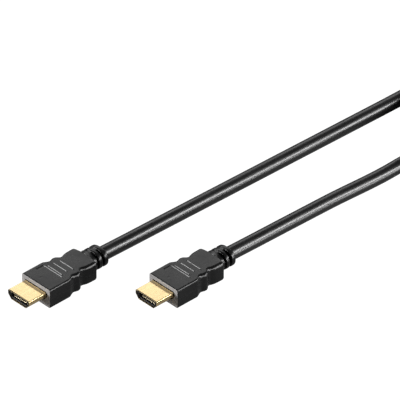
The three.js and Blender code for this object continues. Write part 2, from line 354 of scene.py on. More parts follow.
def side_contour():
    """Half width of the body against the distance from its front face."""
    knots = np.array(GRIP_PROFILE)
    padded = np.vstack([2 * knots[0] - knots[1], knots, 2 * knots[-1] - knots[-2]])
    x, inset = [], []
    for a, b, c, d in zip(padded, padded[1:], padded[2:], padded[3:]):
        t = np.linspace(0, 1, 12)[:, None]
        square = 2 * a - 5 * b + 4 * c - d
        cube = 3 * b - a - 3 * c + d
        p = 0.5 * (2 * b + (c - a) * t + square * t**2 + cube * t**3)
        x.extend(p[:, 0])
        inset.extend(p[:, 1])
    return np.array(x), np.array(inset)


CONTOUR_X, CONTOUR_INSET = side_contour()


def half_width(x):
    """Half the body's width at a distance from its front face."""
    return BODY_WIDTH / 2 - np.interp(x, CONTOUR_X, CONTOUR_INSET)


def edge_radius(x):
    """The long edges are rounder along the grips than near the front face."""
    return EDGE_RADIUS + (GRIP_EDGE_RADIUS - EDGE_RADIUS) * smooth(x, *EDGES_GROW_ROUNDER)


def raise_ribs(ring):
    """Ribs, groove and dimple of the top face, added to the heights of a ring's top points."""
    x, y, z = ring[:, 0], ring[:, 1], ring[:, 2]
    on_top = smooth(z, BODY_HEIGHT - 0.05, BODY_HEIGHT - 0.01)
    for place, left, right in TOP_RIBS:
        across = smooth(y, right - RIB_END, right) * (1 - smooth(y, left, left + RIB_END))
        along = 1 - smooth(np.abs(x - place), RIB_CREST, RIB_FOOT)
        z = z + RIB_HEIGHT * across * along * on_top
    start, end, side = TOP_GROOVE
    along = smooth(x, start - GROOVE_RAMP, start) * (1 - smooth(x, end, end + GROOVE_RAMP))
    z = z - GROOVE_DEPTH * along * (1 - smooth(np.abs(y - side), *GROOVE_SIDES)) * on_top
    place, side, radius = TOP_DIMPLE
    z = z - DIMPLE_DEPTH * (1 - smooth(np.hypot(x - place, y - side), radius * 0.4, radius)) * on_top
    return np.column_stack([x, y, z])


def body_stations():
    """Distances from the front face at which the body has a ring, closer at the ribs and the groove."""
    even = np.arange(FIRST_RING, BODY_LENGTH - REAR_CORNER, RING_SPACING)
    before, after = -RIB_FOOT - 0.12, RIB_FOOT + 0.12
    steps = (before, -RIB_FOOT, -RIB_CREST, RIB_CREST, RIB_FOOT, after)
    ribs = np.array([x + step for x, _, _ in TOP_RIBS for step in steps])
    start, end, _ = TOP_GROOVE
    groove = np.array([start - GROOVE_RAMP, start, end, end + GROOVE_RAMP])
    clear = [x for x in even if np.min(np.abs(ribs - x)) > RING_CLEARANCE]
    return np.unique(np.round(np.concatenate([clear, ribs, groove]), 4))


def relief_ring(x, angles, inset=0.0, slot=0.0):
    """One ring of the strain relief. slot is how far it is cut down to the core, beside the spines."""
    across, up = RELIEF_WIDTH / 2 - inset, RELIEF_HEIGHT / 2 - inset
    c, s = np.cos(angles), np.sin(angles)
    power = RELIEF_SQUARENESS
    radius = (np.abs(c / across) ** power + np.abs(s / up) ** power) ** (-1 / power)
    turned = np.degrees(np.arctan2(s, -c)) % 180
    first, last = SPINE_ARC
    spine = smooth(turned, first - SPINE_EDGE, first + SPINE_EDGE)
    spine = spine * (1 - smooth(turned, last - SPINE_EDGE, last + SPINE_EDGE))
    cut = slot * (1 - spine)
    radius = radius + (SLOT_CORE - radius) * cut
    return np.column_stack([np.full(len(angles), x), radius * c, RELIEF_AXIS + radius * s])


def plug_body_rings():
    """Rings from the bottom of the shell's pocket, out over the body and back to the cable."""
    pocket = shell_outline(-POCKET_GAP, *POCKET_RADII)
    rings = [ring_at(x, pocket) for x in (POCKET_DEPTH, 1.4, POCKET_LEAD)]
    inner = shell_outline(-POCKET_GAP - POCKET_LEAD, *(radius + 0.05 for radius in POCKET_RADII))
    rings.append(ring_at(0.0, inner))
    face = front_outline(FRONT_EDGE)
    for share in (0.33, 0.66):
        rings.append(ring_at(0.0, inner + (face - inner) * share))
    for angle in (0, 30, 60, 90):
        a = math.radians(angle)
        inset = FRONT_EDGE * (1 - math.sin(a))
        rings.append(ring_at(FRONT_EDGE * (1 - math.cos(a)), front_outline(inset)))
    for x in body_stations():
        ring = ring_at(x, box_outline(half_width(x), 0.0, BODY_HEIGHT, edge_radius(x)))
        rings.append(raise_ribs(ring))
    rear = BODY_LENGTH
    for angle in (0, 18, 36, 54, 72, 84):
        a = math.radians(angle)
        x = rear - REAR_CORNER * (1 - math.sin(a))
        inset = REAR_CORNER * (1 - math.cos(a))
        ring = ring_at(x, box_outline(half_width(x) - inset, 0.0, BODY_HEIGHT, edge_radius(x)))
        rings.append(ease_rear_edge(ring, 1 - math.cos(a)))
    last = rings[-1]
    angles = np.unwrap(np.arctan2(last[:, 2] - RELIEF_AXIS, last[:, 1]))
    root = relief_ring(rear + 0.35, angles, inset=-0.1)
    for share in (0.35, 0.7):
        blend = last + (root - last) * share
        blend[:, 0] = rear + 0.05 * share
        rings.append(blend)
    rings.append(root)
    return rings + relief_rings(rear, angles)


def ease_rear_edge(ring, share):
    """Rounds the rear end of the top and bottom edges, beside the strain relief."""
    x, y, z = ring.T.copy()
    beside = smooth(np.abs(y), RELIEF_WIDTH / 2 - 2.2, RELIEF_WIDTH / 2 + 0.8)
    z = BODY_HEIGHT / 2 + (z - BODY_HEIGHT / 2) * (1 - REAR_EASE * share * beside)
    return np.column_stack([x, y, z])


def relief_rings(rear, angles):
    """The strain relief: its slots, its rounded end and the hole that the cable goes into."""
    rings = [relief_ring(rear + x, angles) for x in (0.8, 1.6, 2.4)]
    for start, end in RELIEF_SLOTS:
        a, b = rear + start, rear + end
        rings += [
            relief_ring(a - 0.3, angles),
            relief_ring(a - 0.1, angles, 0.06),
            relief_ring(a, angles, SLOT_EDGE),
            relief_ring(a + 0.03, angles, SLOT_EDGE, 0.5),
            relief_ring(a + 0.06, angles, SLOT_EDGE, 1.0),
            relief_ring((a + b) / 2, angles, SLOT_EDGE - 0.02, 1.0),
            relief_ring(b - 0.06, angles, SLOT_EDGE, 1.0),
            relief_ring(b - 0.03, angles, SLOT_EDGE, 0.5),
            relief_ring(b, angles, SLOT_EDGE),
            relief_ring(b + 0.1, angles, 0.06),
            relief_ring(b + 0.3, angles),
        ]
        rings.append(relief_ring(b + 1.0, angles))
    end = rear + RELIEF_LENGTH
    for angle in (0, 20, 40, 60, 80):
        a = math.radians(angle)
        x = end - RELIEF_END_ROUND * (1 - math.sin(a))
        rings.append(relief_ring(x, angles, RELIEF_END_ROUND * (1 - math.cos(a))))
    c, s = np.cos(angles), np.sin(angles)
    for depth, gap in RELIEF_HOLE:
        radius = CABLE_DIAMETER / 2 + gap
        rings.append(ring_at(end - depth, np.column_stack([radius * c, EXIT_HEIGHT + radius * s])))
    return rings


def shell_rings():
    """The metal shell: outside, rounded lip, inside, and back round its buried end."""
    lip = SHELL_WALL / 2
    rings = []
    for x in (SHELL_BURIED, 0.0, -1.0, -4.0, -7.0, -9.6, -SHELL_REACH + 0.7):
        rings.append(ring_at(x, shell_outline(0.0, SHELL_TOP_RADIUS, SHELL_LOW_RADIUS)))
    for angle in (0, 45, 90, 135, 180):
        a = math.radians(angle)
        inset = lip * (1 - math.cos(a))
        x = -SHELL_REACH + lip * (1 - math.sin(a))
        radii = (SHELL_TOP_RADIUS - inset / 2, SHELL_LOW_RADIUS - inset / 2)
        rings.append(ring_at(x, shell_outline(inset, *radii)))
    for x in (-SHELL_REACH + 0.7, -7.0, SHELL_BURIED):
        rings.append(ring_at(x, shell_outline(SHELL_WALL, *SHELL_INNER_RADII)))
    return rings


def insulator_rings():
    """The insulator: its outside, front face, and the slot for the socket's tongue."""
    front = -SHELL_REACH + INSULATOR_RECESS
    width, height, depth = TONGUE_SLOT
    low, high = SHELL_MIDDLE - height / 2, SHELL_MIDDLE + height / 2
    outside = SHELL_WALL + INSULATOR_GAP
    ends = (SHELL_BURIED - 0.1, front + INSULATOR_EDGE)
    rings = [ring_at(x, shell_outline(outside, 0.3, 0.25)) for x in ends]
    rings.append(ring_at(front, shell_outline(outside + 0.12, 0.25, 0.2)))
    mouth = box_outline(width / 2 + SLOT_LEAD, low - SLOT_LEAD, high + SLOT_LEAD, 0.35)
    rings.append(ring_at(front, mouth))
    slot = box_outline(width / 2, low, high, 0.15)
    rings += [ring_at(x, slot) for x in (front + SLOT_LEAD, front + 2.0, front + depth)]
    return rings


def plain_run(exit_point, x):
    """The cable behind a plug: it sinks to the floor and drifts a little to the right."""
    x0, y0, z0 = exit_point
    share = np.clip((x - x0) / SAG_LENGTH, 0, 1)
    z = REST_HEIGHT + (z0 - REST_HEIGHT) * 0.5 * (1 + np.cos(np.pi * share))
    y = y0 - CABLE_HEADING * (x - x0) - (z - z0) * smooth(x, x0, x0 + DRIFT_START)
    return np.column_stack([x, y, z])


def run_from_first_plug(exit_point):
    """From the first plug straight to the coil's outer turn."""
    end = COIL_CENTRE[0]
    run = plain_run(exit_point, np.arange(exit_point[0], end, 2.5))
    tangent = COIL_CENTRE[1] + COIL_RADII[2]
    first, last = (end - distance for distance in JOINING_RUN)
    run[:, 1] += (tangent - run[:, 1]) * smooth(run[:, 0], first, last)
    return run


def coil_turns():
    """The wound turns: three on the floor, a climb beside the inner one, and two more on top."""
    phi = np.arange(0.0, COIL_END, COIL_ANGLE_STEP)
    radius = np.full(len(phi), COIL_RADII[2])
    for start, end, change in COIL_SHIFTS:
        radius = radius + change * smooth(phi, start, end)
    z = COIL_LOW + (COIL_HIGH - COIL_LOW) * smooth(phi, *COIL_CLIMB)
    world = np.radians(90 - phi)
    from_tie = np.abs((np.degrees(world) + 180) % 360 - 180)
    z = z + TIE_LIFT * (1 - smooth(from_tie, *TIE_LIFT_ANGLES))
    x = COIL_CENTRE[0] + radius * np.cos(world)
    y = COIL_CENTRE[1] + radius * np.sin(world)
    return np.column_stack([x, y, z])


def run_to_second_plug(exit_point):
    """From the coil's top turn over its edge, down a reverse bend and straight to the second plug."""
    beta = math.radians(LEAVING_ANGLE)
    out = np.array([math.sin(beta), math.cos(beta)])
    leave = np.array(COIL_CENTRE) - COIL_RADII[2] * out
    heading = math.pi - beta
    straight, bend = LEAVING_STRAIGHT, LEAVING_BEND
    along = np.array([math.cos(heading), math.sin(heading)])
    across = np.array([-along[1], along[0]])
    turn_start = leave + straight * along
    centre = turn_start + bend * across
    points = [leave, leave + along * straight / 2]
    steps = np.linspace(heading, math.radians(LAST_HEADING), 12)
    points += [centre + bend * np.array([math.sin(h), -math.cos(h)]) for h in steps]
    end = points[-1]
    far = np.linspace(end[0], exit_point[0], 40)[1:]
    plain = plain_run(exit_point, far)
    plain[:, 1] += (end[1] - plain[:, 1]) * smooth(far, end[0] - LAST_SWING, end[0])
    bend_points = np.array(points)
    length = np.concatenate([[0], np.cumsum(np.hypot(*np.diff(bend_points, axis=0).T))])
    z = np.interp(length, LEAVING_LENGTHS, LEAVING_HEIGHTS)
    return np.vstack([np.column_stack([bend_points, z]), plain])


def even_path(points, step):
    """The same path through points at one even spacing, slightly smoothed."""
    length = np.concatenate([[0], np.cumsum(np.linalg.norm(np.diff(points, axis=0), axis=1))])
    count = int(round(length[-1] / step))
    at = np.linspace(0, length[-1], count + 1)
    even = np.column_stack([np.interp(at, length, points[:, i]) for i in range(3)])
    for _ in range(4):
        even[1:-1] = 0.5 * even[1:-1] + 0.25 * (even[:-2] + even[2:])
    return even


def make_camera():
    """A long lens that looks at the plugs from the front left, so that parallel lines stay parallel."""
    a, e = VIEW_AZIMUTH, VIEW_ELEVATION
    right = Vector((math.cos(a), -math.sin(a), 0.0))
    up = Vector((math.sin(a) * math.sin(e), math.cos(a) * math.sin(e), math.cos(e)))
    back = right.cross(up)
    u, v = PLUG_FRONT_IN_IMAGE
    aim = Vector(plug_origin("plug_a")) * MM
    aim += right * ((IMAGE_SIDE / 2 - u) / PIXELS_PER_MM * MM)
    aim += up * ((v - IMAGE_SIDE / 2) / PIXELS_PER_MM * MM)
    data = bpy.data.cameras.new("camera")
    data.lens, data.sensor_width = LENS, SENSOR
    distance = IMAGE_SIDE / PIXELS_PER_MM * MM * LENS / SENSOR
    data.clip_start, data.clip_end = 0.1, distance + 20
    camera = put_in_scene("camera", data)
    camera.location = aim + back * distance
    camera.rotation_euler = back.to_track_quat("Z", "Y").to_euler()
    bpy.context.scene.camera = camera


make_camera()


def new_group(name, inputs, outputs):
    """A shader node group with float inputs given as name: value, and outputs given as name: type."""
    tree = bpy.data.node_groups.new(name, "ShaderNodeTree")
    for label, value in inputs.items():
        socket = tree.interface.new_socket(label, in_out="INPUT", socket_type="NodeSocketFloat")
        socket.default_value = value
    for label, kind in outputs.items():
        tree.interface.new_socket(label, in_out="OUTPUT", socket_type=kind)
    return tree, tree.nodes.new("NodeGroupInput"), tree.nodes.new("NodeGroupOutput")


def add(tree, kind, **settings):
    """A new node with its settings."""
    node = tree.nodes.new(kind)
    for key, value in settings.items():
        setattr(node, key, value)
    return node


def math_node(tree, operation, a, b=None, clamp=False):
    """A Math node on numbers or sockets."""
    node = add(tree, "ShaderNodeMath", operation=operation, use_clamp=clamp)
    for i, value in enumerate((a, b)):
        if value is None:
            continue
        if isinstance(value, (int, float)):
            node.inputs[i].default_value = value
        else:
            tree.links.new(value, node.inputs[i])
    return node.outputs[0]


def noise_node(tree, scale, detail=2.0, stretch=None):
    """Noise over Object coordinates. scale counts features in a metre."""
    place = add(tree, "ShaderNodeTexCoord")
    source = place.outputs["Object"]
    if stretch:
        mapping = add(tree, "ShaderNodeMapping")
        mapping.inputs["Scale"].default_value = stretch
        tree.links.new(source, mapping.inputs["Vector"])
        source = mapping.outputs["Vector"]
    node = add(tree, "ShaderNodeTexNoise")
    tree.links.new(source, node.inputs["Vector"])
    node.inputs["Detail"].default_value = detail
    if isinstance(scale, (int, float)):
        node.inputs["Scale"].default_value = scale
    else:
        tree.links.new(scale, node.inputs["Scale"])
    return node.outputs["Fac"]


def map_range(tree, value, from_low, from_high, to_low, to_high):
    """A Map Range node between numbers."""
    node = add(tree, "ShaderNodeMapRange")
    tree.links.new(value, node.inputs["Value"])
    labels = ("From Min", "From Max", "To Min", "To Max")
    for label, given in zip(labels, (from_low, from_high, to_low, to_high)):
        node.inputs[label].default_value = given
    return node.outputs["Result"]


def moulded_grain():
    """Spark-eroded grain of moulded plastic: a bumped normal and the height behind it."""
    tree, given, out = new_group(
        "moulded grain",
        {"Grain size": 2600.0, "Depth": 0.2},
        {"Normal": "NodeSocketVector", "Height": "NodeSocketFloat"},
    )
    fine = noise_node(tree, given.outputs["Grain size"], 3.0)
    bump = add(tree, "ShaderNodeBump")
    bump.inputs["Distance"].default_value = 0.00012
    tree.links.new(given.outputs["Depth"], bump.inputs["Strength"])
    tree.links.new(fine, bump.inputs["Height"])
    tree.links.new(bump.outputs["Normal"], out.inputs["Normal"])
    tree.links.new(fine, out.inputs["Height"])
    return tree


def handling_marks():
    """Faint patches where fingers polish or dull a surface."""
    tree, given, out = new_group(
        "handling marks",
        {"Patch size": 90.0, "Amount": 1.0},
        {"Mask": "NodeSocketFloat"},
    )
    broad = noise_node(tree, given.outputs["Patch size"], 4.0)
    mask = map_range(tree, broad, 0.42, 0.68, 0.0, 1.0)
    tree.links.new(math_node(tree, "MULTIPLY", mask, given.outputs["Amount"], True), out.inputs["Mask"])
    return tree


def settled_dust():
    """Fine dust on faces that look up."""
    tree, given, out = new_group(
        "settled dust",
        {"Amount": 0.1, "Speck size": 900.0},
        {"Mask": "NodeSocketFloat"},
    )
    shape = add(tree, "ShaderNodeNewGeometry")
    split = add(tree, "ShaderNodeSeparateXYZ")
    tree.links.new(shape.outputs["Normal"], split.inputs["Vector"])
    up = map_range(tree, split.outputs["Z"], 0.4, 1.0, 0.0, 1.0)
    speck = map_range(tree, noise_node(tree, given.outputs["Speck size"], 5.0), 0.52, 0.8, 0.0, 1.0)
    both = math_node(tree, "MULTIPLY", up, speck)
    tree.links.new(math_node(tree, "MULTIPLY", both, given.outputs["Amount"], True), out.inputs["Mask"])
    return tree


GRAIN = moulded_grain()
MARKS = handling_marks()
DUST = settled_dust()


def use_group(tree, group, **values):
    """A shared group placed in a material, with its inputs given by name, spaces as underscores."""
    node = add(tree, "ShaderNodeGroup", node_tree=group)
    for label, value in values.items():
        node.inputs[label.replace("_", " ")].default_value = value
    return node


def new_material(name):
    """A material, its node tree and its main shader."""
    material = bpy.data.materials.new(name)
    material.use_nodes = True
    tree = material.node_tree
    return material, tree, tree.nodes["Principled BSDF"]


def mix_colours(tree, mask, low, high):
    """A colour between two, each a tuple or a socket, by a mask."""
    node = add(tree, "ShaderNodeMix", data_type="RGBA")
    tree.links.new(mask, node.inputs["Factor"])
    for socket, value in ((node.inputs[6], low), (node.inputs[7], high)):
        if isinstance(value, tuple):
            socket.default_value = (*value, 1.0)
        else:
            tree.links.new(value, socket)
    return node.outputs[2]


def parting_line(tree, normal, height):
    """A bump for the fine line where the two halves of the mould met, at one height."""
    place = add(tree, "ShaderNodeTexCoord")
    split = add(tree, "ShaderNodeSeparateXYZ")
    tree.links.new(place.outputs["Object"], split.inputs["Vector"])
    distance = math_node(tree, "ABSOLUTE", math_node(tree, "SUBTRACT", split.outputs["Z"], height * MM))
    bump = add(tree, "ShaderNodeBump")
    bump.inputs["Strength"].default_value = 0.22
    bump.inputs["Distance"].default_value = 0.0002
    tree.links.new(map_range(tree, distance, 0.05 * MM, 0.16 * MM, 1.0, 0.0), bump.inputs["Height"])
    tree.links.new(normal, bump.inputs["Normal"])
    return bump.outputs["Normal"]


def black_plastic(name, low, high, roughness, specular, grain_size, depth, dust, line=None):
    """Moulded plastic: fine grain between two colours, dulled patches, dust and a parting line."""
    material, tree, shader = new_material(name)
    grain = use_group(tree, GRAIN, Grain_size=grain_size, Depth=depth)
    marks = use_group(tree, MARKS)
    dusty = use_group(tree, DUST, Amount=dust)
    colour = mix_colours(tree, grain.outputs["Height"], low, high)
    colour = mix_colours(tree, dusty.outputs["Mask"], colour, DUST_COLOUR)
    tree.links.new(colour, shader.inputs["Base Color"])
    rough = map_range(tree, marks.outputs["Mask"], 0.0, 1.0, roughness[0], roughness[1])
    tree.links.new(rough, shader.inputs["Roughness"])
    normal = grain.outputs["Normal"]
    if line is not None:
        normal = parting_line(tree, normal, line)
    tree.links.new(normal, shader.inputs["Normal"])
    shader.inputs["Specular IOR Level"].default_value = specular
    return material


def cut_edge():
    """The sheared front edge of the sheet metal, duller and greyer than its plated faces."""
    material, tree, shader = new_material("sheared shell edge")
    marks = use_group(tree, MARKS, Patch_size=500.0)
    colour = mix_colours(tree, marks.outputs["Mask"], (0.20, 0.165, 0.10), (0.27, 0.23, 0.15))
    tree.links.new(colour, shader.inputs["Base Color"])
    rough = map_range(tree, marks.outputs["Mask"], 0.0, 1.0, 0.45, 0.6)
    tree.links.new(rough, shader.inputs["Roughness"])
    shader.inputs["Metallic"].default_value = 1.0
    return material


def gold_plate(name, colour, worn, roughness):
    """Gold plate on stamped metal: faint drawing lines and rubbed patches."""
    material, tree, shader = new_material(name)
    marks = use_group(tree, MARKS, Patch_size=240.0, Amount=0.7)
    lines = noise_node(tree, 1.0, 2.0, stretch=(120.0, 5200.0, 5200.0))
    tree.links.new(mix_colours(tree, marks.outputs["Mask"], colour, worn), shader.inputs["Base Color"])
    rough = map_range(tree, lines, 0.3, 0.7, roughness - 0.04, roughness + 0.06)
    tree.links.new(rough, shader.inputs["Roughness"])
    bump = add(tree, "ShaderNodeBump")
    bump.inputs["Strength"].default_value = 0.06
    bump.inputs["Distance"].default_value = 0.00005
    tree.links.new(lines, bump.inputs["Height"])
    tree.links.new(bump.outputs["Normal"], shader.inputs["Normal"])
    shader.inputs["Metallic"].default_value = 1.0
    return material


def strap_fabric():
    """Black hook-and-loop tape: a fuzzy loop pile."""
    material, tree, shader = new_material("hook and loop tape")
    grain = use_group(tree, GRAIN, Grain_size=5200.0, Depth=1.0)
    dusty = use_group(tree, DUST, Amount=0.25)
    colour = mix_colours(tree, grain.outputs["Height"], (0.006, 0.006, 0.007), (0.035, 0.035, 0.037))
    colour = mix_colours(tree, dusty.outputs["Mask"], colour, DUST_COLOUR)
    tree.links.new(colour, shader.inputs["Base Color"])
    rough = map_range(tree, grain.outputs["Height"], 0.0, 1.0, 0.8, 0.98)
    tree.links.new(rough, shader.inputs["Roughness"])
    tree.links.new(grain.outputs["Normal"], shader.inputs["Normal"])
    shader.inputs["Sheen Weight"].default_value = 0.25
    return material


MOULDING = black_plastic(
    "black moulding", (0.002, 0.0021, 0.0022), (0.0042, 0.0043, 0.0045),
    roughness=(0.26, 0.32), specular=0.5, grain_size=2600.0, depth=0.11, dust=0.02,
    line=BODY_HEIGHT / 2,
)
# The front face is the same black plastic as the moulding, painted pale grey: painted light standing in
# for the lamp at the front left.
FRONT_FACE_PAINTED_LIGHT = black_plastic(
    "front face with painted light", (0.33, 0.325, 0.33), (0.43, 0.42, 0.425),
    roughness=(0.35, 0.5), specular=0.5, grain_size=2600.0, depth=0.15, dust=0.0,
)
JACKET = black_plastic(
    "black jacket", (0.0028, 0.0029, 0.003), (0.0048, 0.0049, 0.005),
    roughness=(0.29, 0.34), specular=0.9, grain_size=1500.0, depth=0.05, dust=0.02,
)
NYLON = black_plastic(
    "black nylon", (0.006, 0.006, 0.007), (0.012, 0.012, 0.013),
    roughness=(0.4, 0.55), specular=0.4, grain_size=3000.0, depth=0.2, dust=0.0,
)
SHELL_GOLD = gold_plate("gold plated shell", (0.81, 0.625, 0.335), (0.77, 0.585, 0.30), 0.15)
CUT_EDGE = cut_edge()
CONTACT_GOLD = gold_plate("gold plated contact", (0.80, 0.70, 0.50), (0.72, 0.60, 0.40), 0.45)
STRAP = strap_fabric()


def geometry_tree(name, inputs):
    """A Geometry Nodes group with inputs given as name: value."""
    tree = bpy.data.node_groups.new(name, "GeometryNodeTree")
    tree.interface.new_socket("Geometry", in_out="INPUT", socket_type="NodeSocketGeometry")
    for label, value in inputs.items():
        kind = "NodeSocketInt" if isinstance(value, int) else "NodeSocketFloat"
        tree.interface.new_socket(label, in_out="INPUT", socket_type=kind).default_value = value
    tree.interface.new_socket("Geometry", in_out="OUTPUT", socket_type="NodeSocketGeometry")
    return tree, tree.nodes.new("NodeGroupInput"), tree.nodes.new("NodeGroupOutput")


def bake_nodes(piece, tree, values):
    """Runs the tree on the piece and returns a plain mesh object in its place."""
    modifier = piece.modifiers.new("shape", "NODES")
    modifier.node_group = tree
    for item in tree.interface.items_tree:
        if item.item_type == "SOCKET" and item.in_out == "INPUT" and item.name in values:
            modifier[item.identifier] = values[item.name]
    depsgraph = bpy.context.evaluated_depsgraph_get()
    mesh = bpy.data.meshes.new_from_object(piece.evaluated_get(depsgraph))
    mesh.name = piece.name
    piece.modifiers.clear()
    piece.data = mesh
    return piece


def cable_tree():
    """Sweeps a round section along the cable's path."""
    tree, given, out = geometry_tree("cable sweep", CABLE_SECTION)
    line = add(tree, "GeometryNodeMeshToCurve")
    place = add(tree, "GeometryNodeSplineParameter")
    along = add(tree, "GeometryNodeStoreNamedAttribute", data_type="FLOAT", domain="POINT")
    along.inputs["Name"].default_value = "along"
    section = add(tree, "GeometryNodeCurvePrimitiveCircle")
    radius = add(tree, "ShaderNodeMath", operation="MULTIPLY")
    radius.inputs[1].default_value = 0.5
    sweep = add(tree, "GeometryNodeCurveToMesh")
    sweep.inputs["Fill Caps"].default_value = True
    paint = add(tree, "GeometryNodeSetMaterial")
    paint.inputs["Material"].default_value = JACKET
    real = add(tree, "GeometryNodeRealizeInstances")
    link = tree.links.new
    link(given.outputs["Geometry"], line.inputs["Mesh"])
    link(line.outputs["Curve"], along.inputs["Geometry"])
    link(place.outputs["Length"], along.inputs["Value"])
    link(along.outputs["Geometry"], sweep.inputs["Curve"])
    link(given.outputs["Diameter"], radius.inputs[0])
    link(radius.outputs[0], section.inputs["Radius"])
    link(given.outputs["Sides"], section.inputs["Resolution"])
    link(section.outputs["Curve"], sweep.inputs["Profile Curve"])
    link(sweep.outputs["Mesh"], real.inputs["Geometry"])
    link(real.outputs["Geometry"], paint.inputs["Geometry"])
    link(paint.outputs["Geometry"], out.inputs["Geometry"])
    return tree


def relief_end(prefix):
    """The point where the cable leaves a plug's strain relief."""
    return plug_origin(prefix) + np.array([BODY_LENGTH + RELIEF_LENGTH, 0.0, EXIT_HEIGHT])


first_exit, second_exit = relief_end("plug_a"), relief_end("plug_b")
cable_points = even_path(
    np.vstack([run_from_first_plug(first_exit), coil_turns(), run_to_second_plug(second_exit)]),
    CABLE_STEP,
)
buried = np.array([[-CABLE_BURIED, 0, 0]])
swept_points = np.vstack([first_exit + buried, cable_points, second_exit + buried])
line_mesh = bpy.data.meshes.new("cable")
spans = [(i, i + 1) for i in range(len(swept_points) - 1)]
line_mesh.from_pydata((swept_points * MM).tolist(), spans, [])
cable = put_in_scene("cable", line_mesh)
bake_nodes(cable, cable_tree(), CABLE_SECTION)
shade(cable, JACKET, sharp=50.0)
finish_piece(cable, "jacket", "cable_run_a", "cable_run_b", "cable_coil")


def tie_section():
    """The tie's section: its place across the coil, and its height from the middle of the strap."""
    half, thick = TIE_WIDTH / 2, TIE_THICKNESS / 2
    upper = [
        (half, thick - 0.1), (half - 0.15, thick), (half / 3, thick),
        (-half / 3, thick), (-half + 0.15, thick), (-half, thick - 0.1),
    ]
    return [(-w, -h) for w, h in upper] + upper


def make_tie():
    """A strap once round the coil's three low and two high turns, its tail laid over its start."""
    inner, middle, outer = COIL_RADII
    floor, top = COIL_LOW + TIE_LIFT, COIL_HIGH + TIE_LIFT
    centres = [np.array(c) for c in ((inner, floor), (outer, floor), (middle, top), (inner, top))]
    reach = CABLE_DIAMETER / 2 + TIE_THICKNESS / 2 + TIE_SLACK
    path = []
    for i, centre in enumerate(centres):
        into = centre - centres[i - 1]
        away = centres[(i + 1) % 4] - centre
        first = math.atan2(into[1], into[0]) - math.pi / 2
        last = math.atan2(away[1], away[0]) - math.pi / 2
        while last < first:
            last += 2 * math.pi
        for a in np.linspace(first, last, max(3, int((last - first) / 0.2))):
            path.append(centre + reach * np.array([math.cos(a), math.sin(a)]))
        path.append(path[-1] + away / 2)
    path = np.array(path)
    closed = np.vstack([path, path[:1]])
    length = np.concatenate([[0], np.cumsum(np.linalg.norm(np.diff(closed, axis=0), axis=1))])
    around = length[-1]
    start = TIE_START * around
    at = np.arange(start, start + around + TIE_OVERLAP, TIE_STEP)
    middle_line = np.column_stack([np.interp(at % around, length, closed[:, k]) for k in (0, 1)])
    tangent = np.gradient(middle_line, axis=0)
    tangent /= np.linalg.norm(tangent, axis=1)[:, None]
    outward = np.column_stack([tangent[:, 1], -tangent[:, 0]])
    lift = smooth(at, start + around - TIE_STEP_UP, start + around)
    middle_line = middle_line + outward * ((TIE_THICKNESS + TIE_SLACK) * lift)[:, None]
    x, y = COIL_CENTRE
    rings = [
        np.array([(x + p[0] + n[0] * h, y + w, p[1] + n[1] * h) for w, h in tie_section()])
        for p, n in zip(middle_line, outward)
    ]
    points, faces = loft(rings)
    tie = make_mesh("tie_strap", points, faces)
    shade(tie, STRAP, sharp=35.0)
    return finish_piece(tie, "tie", "cable_tie")


tie = make_tie()


def contact_tree():
    """Sets one spring finger along both rows of the slot."""
    tree, given, out = geometry_tree("contact rows", CONTACT_SIZES)
    link = tree.links.new

    def value(operation, a, b):
        """A Math node of this tree."""
        return math_node(tree, operation, a, b)

    def combine(x=None, y=None, z=None):
        """A vector from its parts; a part that isn't given is 0."""
        node = add(tree, "ShaderNodeCombineXYZ")
        for socket, source in zip(node.inputs, (x, y, z)):
            if source is not None:
                link(source, socket)
        return node.outputs[0]

    line = add(tree, "GeometryNodeCurvePrimitiveLine")
    link(combine(x=given.outputs["Length"]), line.inputs["End"])
    fine = add(tree, "GeometryNodeResampleCurve", mode="COUNT")
    fine.inputs["Count"].default_value = 48
    link(line.outputs["Curve"], fine.inputs["Curve"])
    place = add(tree, "GeometryNodeSplineParameter")
    lift = map_range(tree, place.outputs["Length"], 0.0, CONTACT_RAMP * MM, 0.0, 1.0)
    lift = value("SINE", value("MULTIPLY", lift, math.pi / 2), None)
    move = add(tree, "GeometryNodeSetPosition")
    link(fine.outputs["Curve"], move.inputs["Geometry"])
    link(combine(z=value("MULTIPLY", lift, given.outputs["Rise"])), move.inputs["Offset"])
    section = add(tree, "GeometryNodeCurvePrimitiveQuadrilateral")
    link(given.outputs["Width"], section.inputs["Width"])
    section.inputs["Height"].default_value = CONTACT_THICKNESS * MM
    finger = add(tree, "GeometryNodeCurveToMesh")
    finger.inputs["Fill Caps"].default_value = True
    link(move.outputs["Geometry"], finger.inputs["Curve"])
    link(section.outputs["Curve"], finger.inputs["Profile Curve"])

    join = add(tree, "GeometryNodeJoinGeometry")
    for label, side in (("Count below", -1.0), ("Count above", 1.0)):
        count = given.outputs[label]
        span = value("MULTIPLY", value("SUBTRACT", count, 1.0), given.outputs["Pitch"])
        row = add(tree, "GeometryNodeMeshLine", mode="OFFSET")
        link(count, row.inputs["Count"])
        first = value("MULTIPLY", span, -0.5)
        height = value("MULTIPLY", given.outputs["Slot height"], 0.5 * side)
        link(combine(y=first, z=height), row.inputs["Start Location"])
        link(combine(y=given.outputs["Pitch"]), row.inputs["Offset"])
        copies = add(tree, "GeometryNodeInstanceOnPoints")
        copies.inputs["Rotation"].default_value = (math.pi if side > 0 else 0.0, 0.0, 0.0)
        link(row.outputs["Mesh"], copies.inputs["Points"])
        link(finger.outputs["Mesh"], copies.inputs["Instance"])
        link(copies.outputs["Instances"], join.inputs["Geometry"])
    real = add(tree, "GeometryNodeRealizeInstances")
    paint = add(tree, "GeometryNodeSetMaterial")
    paint.inputs["Material"].default_value = CONTACT_GOLD
    link(join.outputs["Geometry"], real.inputs["Geometry"])
    link(real.outputs["Geometry"], paint.inputs["Geometry"])
    link(paint.outputs["Geometry"], out.inputs["Geometry"])
    return tree


CONTACTS = contact_tree()


